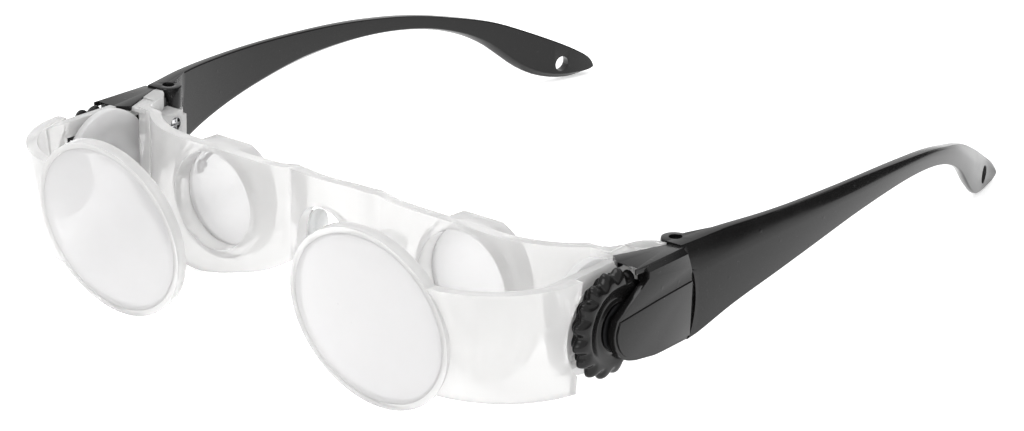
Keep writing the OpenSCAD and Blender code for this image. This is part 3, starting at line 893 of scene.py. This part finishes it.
@dataclass
class Temple(SubAssembly):
    """A folding temple: a bowed, tapering arm with two hinge knuckles and a cord hole."""

    length: float = 139.5
    front_y: float = -3.6
    face_x: float = 73.9
    face_radius: float = 275.0
    middle_y: float = 43.0
    root_t: float = 4.6
    tip_t: float = 2.6
    taper: float = 34.0
    flare_from: float = 127.0
    flare_out: float = 1.6
    section: ArmSection = ArmSection()
    seam: Seam = Seam()
    seam_gap: float = 0.09
    beyond: float = 20.0
    hinge_x: float = 65.3
    knuckle_r: float = 2.8
    knuckle_chamfer: float = 0.3
    knuckle_edge: tuple[Flat, ...] = ((0.0, 0.35), (0.12, 0.1), (0.4, 0.0))
    knuckle_steps: int = 72
    knuckle_top: float = 10.2
    knuckle_mid_top: float = 5.3
    knuckle_mid_bottom: float = -5.4
    knuckle_bottom: float = -7.2
    room_r: float = 3.3
    pin_r: float = 0.96
    well_r: float = 1.3
    well_depth: float = 0.9
    web_depths: tuple[float, ...] = (-3.0, -2.0, -1.0, 0.0, 1.4, 2.6, 4.0, 6.0, 8.0)
    web_turn: float = 1.8
    web_slope: float = 0.46
    web_inset: float = 0.1
    web_lift: float = 0.02
    web_drop: float = 0.12
    web_under_top: float = 0.03
    cord_hole_r: float = 1.9
    cord_back: float = 9.5
    cord_z: float = -13.91
    cord_edge: float = 0.35
    cord_flare_r: float = 2.4
    cord_flare_at: float = 1.0
    cord_inner: float = -12.0
    cord_outer: float = 6.0
    cord_steps: int = 56
    curve_steps: int = 5
    even_steps: int = 58
    even_short: float = 8.0
    tip_backs: tuple[float, ...] = (6.6, 5.2, 3.9, 2.8, 1.9, 1.2, 0.7, 0.35, 0.12, 0.0)
    rounding: Rounding = Rounding(0.14, 2, 40.0)
    upper: tuple[Flat, ...] = (
        (-4, 10.15), (0.3, 10.3), (9, 10.7), (20, 10.5), (40, 9.9), (60, 8.8), (75, 7.3), (87, 5.5), (98, 3),
        (109, 0), (118.6, -3.9), (128.4, -8.4), (134, -11.3), (137.4, -13.4), (139, -15.1), (139.5, -16.2))
    lower: tuple[Flat, ...] = (
        (-4, -9.0), (0.3, -8.5), (10, -5.2), (20, -2.8), (35, 0.1), (50, 2.3), (65, 3.3), (78, 3), (90, 1.3),
        (100, -1.8), (107, -5.4), (112, -9.1), (117, -12.9), (122, -15.7), (127, -17.3), (132, -18),
        (136.6, -17.8), (138.6, -17.3), (139.5, -16.6))

    def outer_x(self, y: float) -> float:
        """How far out the outer face is at a depth."""
        flare = self.flare_out * (max(0.0, y - self.flare_from) / (self.length - self.flare_from)) ** 2
        bow = math.sqrt(self.face_radius ** 2 - (y - self.middle_y) ** 2)
        return self.face_x - self.face_radius + bow + flare

    def thickness(self, y: float) -> float:
        """The arm's thickness at a depth."""
        return self.tip_t + (self.root_t - self.tip_t) * max(0.0, 1 - y / self.taper) ** 2

    def stations(self) -> list[float]:
        """Depths of the arm's rings, closer together at the tip."""
        reach = self.length - self.even_short - self.front_y
        made = [self.front_y + reach * k / self.even_steps for k in range(self.even_steps + 1)]
        return made + [self.length - back for back in self.tip_backs]

    def upright(self, x: float, y: float, z: float) -> Point:
        """Puts a turned shape upright on the hinge axis."""
        return (self.hinge_x + x, y, z)

    def across(self, x: float, y: float, z: float) -> Point:
        """Puts a turned shape along the cord hole's axis.

        Args:
            x: How far up.
            y: How far back, square to the axis.
            z: How far outwards along it.

        Returns:
            The point in drawing coordinates.
        """
        turn = math.asin((self.length - self.cord_back - self.middle_y) / self.face_radius)
        out, back = math.cos(turn), math.sin(turn)
        along = self.face_radius + z
        return (self.face_x - self.face_radius + along * out - y * back,
                self.middle_y + along * back + y * out, self.cord_z + x)

    def knuckle(self, low: float, high: float) -> Thing:
        """Turns a hinge knuckle.

        Args:
            low: Height of its underside.
            high: Height of its top.

        Returns:
            The knuckle.
        """
        r, chamfer = self.knuckle_r, self.knuckle_chamfer
        edge = [(r - u, high - v) for u, v in self.knuckle_edge]
        profile = [(0.0, low), (r - chamfer, low), (r, low + chamfer), *edge, (0.0, high)]
        return self.shop.turned("knuckle", profile, self.upright, self.knuckle_steps)

    def web(self, low: float, high: float, top_line: Sequence[Flat]) -> Thing:
        """The flat plate that joins a knuckle to the arm.

        Args:
            low: Height of its underside.
            high: Height of its top, for the lower knuckle; the upper one's follows the arm's top.
            top_line: The arm's top.

        Returns:
            The plate.
        """
        rings = []
        for y in self.web_depths:
            inner = self.hinge_x + max(0.0, y - self.web_turn) * self.web_slope
            outer = self.outer_x(y) - self.section.band_lean - self.web_inset
            top = height_at(top_line, y) - self.web_under_top if high > 0 else high
            rings.append([(inner, y, low), (outer, y, low), (outer, y, top), (inner, y, top)])
        return self.shop.loft("web", rings)

    def cord_cutter(self) -> Thing:
        """The cord hole, flared at the outer face."""
        r, wide = self.cord_hole_r, self.cord_flare_r
        profile = [(0.0, self.cord_inner), (r, self.cord_inner), (r, -self.tip_t + self.cord_edge),
                   (r, -self.cord_edge), (wide, self.cord_flare_at), (wide, self.cord_outer),
                   (0.0, self.cord_outer)]
        return self.shop.turned("flare", profile, self.across, self.cord_steps)

    def build(self) -> None:
        """Makes the temple and hands it over."""
        shop, name = self.shop, self.node("temple")
        top_line = smooth_line(self.upper, self.curve_steps)
        foot_line = smooth_line(self.lower, self.curve_steps)
        rings = []
        for y in self.stations():
            ring = self.section.ring(self.thickness(y), height_at(top_line, y), height_at(foot_line, y))
            rings.append([(self.outer_x(y) - u, y, v) for u, v in ring])
        arm = shop.loft(f"{name}_arm", rings)
        for low, high in ((self.knuckle_mid_top, self.knuckle_top),
                          (self.knuckle_bottom, self.knuckle_mid_bottom)):
            shop.combine(arm, self.knuckle(low, high), Boolean.ADD)
            shop.combine(arm, self.web(low + self.web_lift, high - self.web_drop, top_line), Boolean.ADD)
        shop.combine(arm, self.seam.cutter(shop, self.seam_gap, -self.beyond), Boolean.CUT)
        # The room for the middle knuckle, the pin's hole and the well above it
        for radius, low, high in ((self.room_r, self.knuckle_mid_bottom, self.knuckle_mid_top),
                                  (self.pin_r, -self.beyond, self.beyond),
                                  (self.well_r, self.knuckle_top - self.well_depth, self.beyond)):
            shop.combine(arm, shop.bar(self.upright, radius, low, high), Boolean.CUT)
        shop.combine(arm, self.cord_cutter(), Boolean.CUT)
        shop.soften(arm, self.rounding)
        self.hand_over(arm, self.palette.black, name, name)


@dataclass
class FocusDrive(SubAssembly):
    """The focus wheel with its scalloped rim, and the clear cam disc with its spiral."""

    wheel_y: float = -22.1
    disc_x: float = 60.6
    disc_t: float = 1.6
    wheel_x: float = 64.8
    wheel_w: float = 3.6
    wheel_r: float = 10.5
    wheel_steps: int = 320
    teeth: int = 16
    scallop: float = 1.15
    scallop_reach: float = 3.4
    scallop_power: float = 1.15
    axis_guard: float = 0.1
    back_w: float = 0.9
    back_step: float = 1.5
    edge: float = 0.1
    shoulder: tuple[Flat, ...] = ((0.9, 0.05), (0.35, 0.2), (0.06, 0.45))
    crown_from: float = 0.7
    crown_r: float = 2.7
    crown_step: int = 10
    dish: tuple[Flat, ...] = ((3.2, 0.08), (3.8, 0.26))
    boss: tuple[Flat, ...] = ((5.6, 0.38), (5.2, 0.3), (4.9, 0.06), (4.6, 0.0))
    hub_r: float = 3.2
    hub_sunk: float = 0.5
    hub_fillet: float = 0.15
    bore_r: float = 2.25
    groove_rest_r: float = 4.85
    groove_rise: float = 4.8
    groove_turn: float = 240.0
    groove_half: float = 0.85
    rib_off: float = 0.12
    rib_r: float = 0.16
    rib_steps: int = 10
    spiral_steps: int = 96
    rounding: Rounding = Rounding(0.12, 2, 40.0)

    def along_wheel(self, x: float, y: float, z: float) -> Point:
        """Puts a shape turned about z on the wheel's axis."""
        return (self.wheel_x + z, self.wheel_y + y, -x)

    def on_disc(self, x: float, y: float, z: float) -> Point:
        """Puts the spiral on the disc: it starts at the bottom and runs to the front, as the groove does."""
        return (self.disc_x + self.disc_t + z, self.wheel_y - x, y)

    def scallop_tree(self, centre: Vector) -> GeometryTree:
        """Makes the rule that draws the rim inwards between the teeth.

        Args:
            centre: A point of the wheel's axis in the row frame.

        Returns:
            The tree.
        """
        tree = GeometryTree("wheel_scallops", {
            "Teeth": self.teeth, "Depth": self.scallop * MM, "Full radius": self.wheel_r * MM,
            "Inner radius": (self.wheel_r - self.scallop_reach) * MM,
            "Centre depth": centre.y, "Centre height": centre.z})
        position = tree.add("GeometryNodeInputPosition").outputs[0]
        parts = tree.add("ShaderNodeSeparateXYZ", {0: position})
        dy = tree.math("SUBTRACT", parts.outputs["Y"], tree.value("Centre depth"))
        dz = tree.math("SUBTRACT", parts.outputs["Z"], tree.value("Centre height"))
        squares = tree.math("ADD", tree.math("MULTIPLY", dy, dy), tree.math("MULTIPLY", dz, dz))
        radius = tree.math("SQRT", squares)
        turns = tree.math("MULTIPLY", tree.math("ARCTAN2", dz, dy), tree.value("Teeth"))
        wave = tree.math("ADD", tree.math("MULTIPLY", tree.math("COSINE", turns), 0.5), 0.5)
        dip = tree.math("MULTIPLY", tree.math("POWER", wave, self.scallop_power), tree.value("Depth"))
        reach = tree.ramp(radius, tree.value("Inner radius"), tree.value("Full radius"), curve="SMOOTHSTEP")
        amount = tree.math("MULTIPLY", dip, reach)
        share = tree.math("DIVIDE", amount, tree.math("MAXIMUM", radius, self.axis_guard * MM))
        in_y, in_z = (tree.math("MULTIPLY", tree.math("MULTIPLY", way, share), -1.0) for way in (dy, dz))
        shift = tree.vector(y=in_y, z=in_z)
        move = tree.add("GeometryNodeSetPosition", {"Geometry": tree.value("Geometry"), "Offset": shift})
        tree.close(move.outputs["Geometry"], self.palette.black.finish)
        return tree

    def rim(self) -> list[Flat]:
        """Draws the rim, from the step at its back to its dished front.

        Returns:
            Its outline as (radius, width) points.
        """
        r, w, low, edge = self.wheel_r, self.wheel_w, self.wheel_r - self.back_step, self.edge
        made = [(low, 0.0), (low + edge, edge), (low + edge, self.back_w)]
        made += [(r - u, self.back_w + v) for u, v in self.shoulder]
        crown_w = w - self.back_w - self.crown_from
        for angle in range(0, 91, self.crown_step):
            a = math.radians(angle)
            made.append((r - self.crown_r * (1 - math.cos(a)),
                         self.back_w + self.crown_from + crown_w * math.sin(a)))
        return made + [(r - u, w - v) for u, v in self.dish]

    def build_wheel(self) -> None:
        """Makes the wheel: a turned body whose rim a tree scallops."""
        shop, name = self.shop, self.node("focus_wheel")
        w, hub, bore, edge = self.wheel_w, self.hub_r, self.bore_r, self.edge
        back = self.disc_x + self.hub_sunk - self.wheel_x
        profile = [(bore, back), (hub - edge, back), (hub, back + edge), (hub, -edge),
                   (hub + self.hub_fillet, 0.0), *self.rim(), *[(r, w - v) for r, v in self.boss],
                   (bore + edge, w), (bore, w - edge)]
        wheel = shop.turned(f"{name}_body", profile, self.along_wheel, self.wheel_steps)
        self.scallop_tree(shop.row((0.0, self.wheel_y, 0.0))).run(shop, wheel)
        shop.shade(wheel, Shading.CRISP)
        self.hand_over(wheel, self.palette.black, self.node("wheel"), name)

    def rib_tree(self) -> GeometryTree:
        """Makes raised ribs along both edges of the cam's spiral groove.

        Returns:
            The tree.
        """
        tree = GeometryTree("spiral_ribs", {
            "Start radius": self.groove_rest_r * MM, "Rise": self.groove_rise * MM,
            "Turns": self.groove_turn / 360, "Half width": (self.groove_half + self.rib_off) * MM,
            "Rib radius": self.rib_r * MM})
        joined = tree.add("GeometryNodeJoinGeometry")
        for sign in (-1.0, 1.0):
            offset = tree.math("MULTIPLY", tree.value("Half width"), sign)
            start = tree.math("ADD", tree.value("Start radius"), offset)
            end = tree.math("ADD", start, tree.value("Rise"))
            spiral = tree.add("GeometryNodeCurveSpiral", {
                "Resolution": self.spiral_steps, "Rotations": tree.value("Turns"), "Height": 0.0,
                "Start Radius": start, "End Radius": end})
            ring = tree.add("GeometryNodeCurvePrimitiveCircle", {
                "Resolution": self.rib_steps, "Radius": tree.value("Rib radius")})
            tube = tree.add("GeometryNodeCurveToMesh", {
                "Curve": spiral.outputs["Curve"], "Profile Curve": ring.outputs["Curve"], "Fill Caps": True})
            tree.join(tube.outputs["Mesh"], joined.inputs["Geometry"])
        tree.close(joined.outputs["Geometry"], self.palette.cam.finish)
        return tree

    def build_ribs(self) -> None:
        """Makes the ribs along the cam disc's spiral."""
        name = self.node("cam_disc") + "_ribs"
        ribs = show(name, bpy.data.meshes.new(name))
        self.rib_tree().run(self.shop, ribs)
        self.shop.settle(ribs, self.on_disc)
        self.shop.shade(ribs, Shading.SMOOTH)
        self.hand_over(ribs, self.palette.cam, self.node("wheel"))

    def build(self) -> None:
        """Makes the wheel, the disc and its ribs."""
        self.build_wheel()
        self.softened("cam_disc", "plate", self.rounding, self.palette.cam, self.node("wheel"))
        self.build_ribs()


@dataclass
class ObjectiveCarrier(SubAssembly):
    """A clear carrier with its objective lens and follower pin."""

    lens_x: float = 33.0
    lens_y: float = -50.0
    lens_r: float = 17.3
    lens_steps: int = 192
    tilt: float = 10.0
    edge: float = 1.2
    crown: float = 2.0
    crown_steps: int = 40
    hollow: float = 0.7
    hollow_rim: float = 0.9
    hollow_steps: int = 30
    front_edge: float = 0.05
    rear_edge: Flat = (0.1, 0.08)
    rounding: Rounding = Rounding(0.18, 3, 32.0)
    pin_rounding: Rounding = Rounding(0.12, 2, 40.0)

    def on_plate(self, x: float, y: float, z: float) -> Point:
        """Puts a shape turned about z on the leaning lens plate."""
        a = math.radians(-90 + self.tilt)
        return (self.lens_x + x, self.lens_y + y * math.cos(a) - z * math.sin(a),
                y * math.sin(a) + z * math.cos(a))

    def build_lens(self) -> None:
        """Turns the lens from the real curves of its two faces."""
        r, (inwards, up) = self.lens_r, self.rear_edge
        front_cap = dome(r - self.front_edge, self.crown, self.crown_steps)
        rear_cap = dome(r - self.hollow_rim, self.hollow, self.hollow_steps)
        front = [(radius, depth - self.crown) for radius, depth in front_cap]
        rear = [(radius, self.edge + self.hollow - depth) for radius, depth in rear_cap]
        profile = [*front, (r, self.front_edge), (r, self.edge - up), (r - inwards, self.edge),
                   *reversed(rear)]
        name = self.node("objective_lens")
        lens = self.shop.turned(f"{name}_glass", profile, self.on_plate, self.lens_steps)
        self.shop.shade(lens, Shading.CRISP)
        self.hand_over(lens, self.palette.lens, self.node("carrier"), name)

    def build(self) -> None:
        """Makes the carrier, its lens and its pin."""
        body = self.node("carrier")
        self.softened("front_carrier", "shell", self.rounding, self.palette.clear, body)
        self.build_lens()
        self.softened("cam_follower", "pin", self.pin_rounding, self.palette.steel, body)


@dataclass
class RearFrame(SubAssembly):
    """The clear rear frame with its eyepieces, pads, pins and the black end pieces."""

    eye_x: float = 32.0
    eye_z: float = -1.5
    rear_y: float = -15.4
    eye_r: float = 10.8
    eye_t: float = 2.4
    eye_rim: float = 1.0
    eye_edge: float = 0.08
    eye_steps: int = 144
    hollow: float = 0.7
    hollow_steps: int = 30
    screw_x: float = 58.0
    screw_y: float = -5.4
    screw_low: float = -3.2
    screw_pitch: float = 7.7
    screw_count: int = 2
    head_r: float = 1.5
    head_h: float = 1.2
    head_steps: int = 40
    slot_w: float = 0.5
    slot_share: float = 1.5
    slot_lift: float = 0.62
    beyond: float = 20.0
    seam: Seam = Seam()
    shell_rounding: Rounding = Rounding(0.3, 3, 32.0)
    cover_rounding: Rounding = Rounding(0.16, 3)
    head_rounding: Rounding = Rounding(0.08, 2, 40.0)
    pad_rounding: Rounding = Rounding(0.7, 4)
    axle_rounding: Rounding = Rounding(0.1)
    washer_rounding: Rounding = Rounding(0.04)
    pin_rounding: Rounding = Rounding(0.15)
    shank_rounding: Rounding = Rounding(0.05)

    def at_eye(self, x: float, y: float, z: float) -> Point:
        """Puts a shape turned about z on the eyepiece's axis, z forwards."""
        return (self.eye_x + x, self.rear_y - z, self.eye_z + y)

    def at_screws(self, x: float, y: float, z: float) -> Point:
        """Puts the row of screw heads upright, facing inwards."""
        return (self.screw_x + self.head_h / 2 - z, self.screw_y + y, self.screw_low + x)

    def build_shell(self) -> None:
        """Makes the one clear moulding that both halves share."""
        shell = self.shop.copy_of("rear_frame", "rear_frame_shell")
        self.shop.soften(shell, self.shell_rounding)
        self.hand_over(shell, self.palette.clear, "frame", "rear_frame")

    def build_eyepiece(self) -> None:
        """Turns one eyepiece, hollow on both faces."""
        r, t, edge = self.eye_r, self.eye_t, self.eye_edge
        cap = dome(r - self.eye_rim, self.hollow, self.hollow_steps)
        rear = [(radius, self.hollow - depth) for radius, depth in cap]
        front = [(radius, t - height) for radius, height in rear]
        profile = [*rear, (r - edge, 0.0), (r, edge), (r, t - edge), (r - edge, t), *reversed(front)]
        name = self.node("eyepiece_lens")
        lens = self.shop.turned(f"{name}_glass", profile, self.at_eye, self.eye_steps)
        self.shop.shade(lens, Shading.CRISP)
        self.hand_over(lens, self.palette.eyepiece, "frame", name)

    def build_cover(self) -> None:
        """Makes the black end piece, cut along the curved seam."""
        name = self.node("end_piece")
        cover = self.shop.copy_of(name, f"{name}_cover")
        self.shop.combine(cover, self.seam.cutter(self.shop, 0.0, self.beyond), Boolean.CUT)
        self.shop.soften(cover, self.cover_rounding)
        self.hand_over(cover, self.palette.black, "frame", name)

    def screw_tree(self) -> GeometryTree:
        """Makes a row of cross-slotted screw heads.

        Returns:
            The tree.
        """
        tree = GeometryTree("end_piece_screws", {
            "Count": self.screw_count, "Pitch": self.screw_pitch * MM, "Head radius": self.head_r * MM,
            "Head height": self.head_h * MM, "Slot width": self.slot_w * MM})
        radius, height = tree.value("Head radius"), tree.value("Head height")
        head = tree.add("GeometryNodeMeshCylinder", {
            "Vertices": self.head_steps, "Radius": radius, "Depth": height})
        cut = tree.add("GeometryNodeMeshBoolean", {"Mesh 1": head.outputs["Mesh"]}, operation="DIFFERENCE")
        size = tree.vector(tree.math("MULTIPLY", radius, self.slot_share), tree.value("Slot width"), height)
        lift = tree.vector(z=tree.math("MULTIPLY", height, self.slot_lift))
        for turn in (0.0, math.pi / 2):
            slot = tree.add("GeometryNodeMeshCube", {"Size": size})
            move = tree.add("GeometryNodeTransform", {
                "Geometry": slot.outputs["Mesh"], "Translation": lift, "Rotation": (0.0, 0.0, turn)})
            tree.join(move.outputs["Geometry"], cut.inputs["Mesh 2"])
        line = tree.add("GeometryNodeMeshLine", {
            "Count": tree.value("Count"), "Offset": tree.vector(tree.value("Pitch"))})
        spread = tree.add("GeometryNodeInstanceOnPoints", {
            "Points": line.outputs["Mesh"], "Instance": cut.outputs["Mesh"]})
        tree.close(spread.outputs["Instances"], self.palette.steel.finish)
        return tree

    def build_screws(self) -> None:
        """Makes the screws that hold the end piece: their heads, and their shanks."""
        name = self.node("end_piece_screws") + "_heads"
        heads = show(name, bpy.data.meshes.new(name))
        self.screw_tree().run(self.shop, heads)
        self.shop.settle(heads, self.at_screws)
        self.shop.soften(heads, self.head_rounding)
        self.hand_over(heads, self.palette.steel, "frame")
        self.softened("end_piece_screws", "shanks", self.shank_rounding, self.palette.steel, "frame")

    def build(self) -> None:
        """Makes this side's pieces."""
        self.build_eyepiece()
        self.softened("nose_pad", "soft", self.pad_rounding, self.palette.silicone, "frame")
        self.build_cover()
        self.softened("axle_screw", "head", self.axle_rounding, self.palette.axle, "frame")
        self.softened("friction_washer", "ring", self.washer_rounding, self.palette.washer, "frame")
        self.softened("hinge_pin", "shaft", self.pin_rounding, self.palette.steel, "frame")
        self.build_screws()


# Studio


@dataclass(frozen=True)
class Lamp:
    """A soft box: its name, its place and width in metres, and its power in watts."""

    name: str
    at: Point
    width: float
    power: float


@dataclass
class Studio:
    """The camera, the light and the floor, in metres."""

    camera_at: Point = (0.34539, -0.46133, 0.22315)
    camera_right: Point = (0.7882, 0.6147, 0.0304)
    camera_up: Point = (-0.2416, 0.2637, 0.9339)
    camera_back: Point = (0.5660, -0.7434, 0.3563)
    lens_mm: float = 101.98
    sensor_mm: float = 36.0
    nearest: float = 0.01
    farthest: float = 20.0
    floor_half: float = 3.0
    floor_gap: float = 0.00005
    surround: float = 0.95
    flag_way: Point = (0.62, 0.78, 0.0)
    flag_edge: float = 0.35
    flag_core: float = 0.75
    flag_tone: float = 0.1
    flag_top: float = 0.38
    white_from: float = 0.62
    lamps: tuple[Lamp, ...] = (
        Lamp("top_box", (-0.15, -0.1, 0.75), 0.5, 1.9),
        Lamp("front_box", (0.1, -0.8, 0.5), 0.35, 1.1),
        Lamp("side_box", (-0.42, -0.74, 0.16), 0.13, 0.4))
    lamp_shape: float = 0.7
    lamp_aim: Point = (0.0, 0.0, 0.02)

    def build_camera(self) -> None:
        """Sets the camera where the photograph's was."""
        data = bpy.data.cameras.new("photo_camera")
        data.lens = self.lens_mm
        data.sensor_width = self.sensor_mm
        data.clip_start = self.nearest
        data.clip_end = self.farthest
        camera = show("photo_camera", data)
        turn = Matrix((self.camera_right, self.camera_up, self.camera_back)).transposed()
        camera.matrix_world = Matrix.Translation(self.camera_at) @ turn.to_4x4()
        bpy.context.scene.camera = camera

    def build_surround(self) -> None:
        """Makes a pale surround, with a dark flag that is only seen in reflections."""
        world = bpy.data.worlds.new("surround")
        world.use_nodes = True
        wire = Wiring(world.node_tree)
        way = wire.add("ShaderNodeTexCoord").outputs["Generated"]
        height = wire.add("ShaderNodeSeparateXYZ", {0: way})
        beside = wire.add("ShaderNodeVectorMath", {0: way, 1: self.flag_way}, operation="DOT_PRODUCT")
        rise = wire.ramp(height.outputs["Z"], self.flag_top, self.white_from)
        turn = wire.ramp(beside.outputs["Value"], self.flag_edge, self.flag_core, 1.0, self.flag_tone)
        glossy = wire.add("ShaderNodeLightPath").outputs["Is Glossy Ray"]
        shade = wire.math("MAXIMUM", wire.math("MAXIMUM", turn, rise), wire.math("SUBTRACT", 1.0, glossy))
        wire.feed(world.node_tree.nodes["Background"], {"Color": shade, "Strength": self.surround})
        bpy.context.scene.world = world
        bpy.context.scene.view_settings.view_transform = "Standard"

    def build_lamp(self, lamp: Lamp) -> None:
        """Hangs one soft box, aimed at the part.

        Args:
            lamp: Its place, width and power.
        """
        data = bpy.data.lights.new(lamp.name, "AREA")
        data.shape = "RECTANGLE"
        data.size = lamp.width
        data.size_y = lamp.width * self.lamp_shape
        data.energy = lamp.power
        made = show(lamp.name, data)
        made.location = lamp.at
        made.rotation_mode = "QUATERNION"
        made.rotation_quaternion = (Vector(self.lamp_aim) - Vector(lamp.at)).to_track_quat("-Z", "Y")

    def build_floor(self, palette: Palette) -> None:
        """Lays the floor just under the part.

        Args:
            palette: The part's looks.
        """
        h, z = self.floor_half, -self.floor_gap
        mesh = bpy.data.meshes.new("floor")
        mesh.from_pydata([(-h, -h, z), (h, -h, z), (h, h, z), (-h, h, z)], [], [(0, 1, 2, 3)])
        mesh.materials.append(palette.floor)
        floor = show("floor", mesh)
        floor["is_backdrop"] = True

    def build(self, palette: Palette) -> None:
        """Builds the whole studio.

        Args:
            palette: The part's looks, for the floor.
        """
        self.build_camera()
        self.build_surround()
        for lamp in self.lamps:
            self.build_lamp(lamp)
        self.build_floor(palette)


def clear_start_objects() -> None:
    """Removes Blender's own start objects."""
    for name in ("Cube", "Camera", "Light"):
        made = bpy.data.objects.get(name)
        if made is not None:
            bpy.data.objects.remove(made)


def corners() -> list[list[float]]:
    """The shown object's box as plain lists."""
    bpy.context.view_layer.update()
    low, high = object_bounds()
    return [list(low), list(high)]


def main() -> None:
    """Builds the studio and every sub-assembly."""
    logging.basicConfig(level=logging.INFO, format="%(message)s")
    clear_start_objects()
    cad_box = corners()
    palette = Palette()
    Studio().build(palette)
    left, right = (Workshop(find_datum(), side) for side in Side)
    RearFrame(left, palette).build_shell()
    for shop in (left, right):
        for kind in (RearFrame, ObjectiveCarrier, FocusDrive, Temple):
            kind(shop, palette).build()
    {"cad": cad_box, "visual": corners()}


if __name__ == "__main__":
    main()
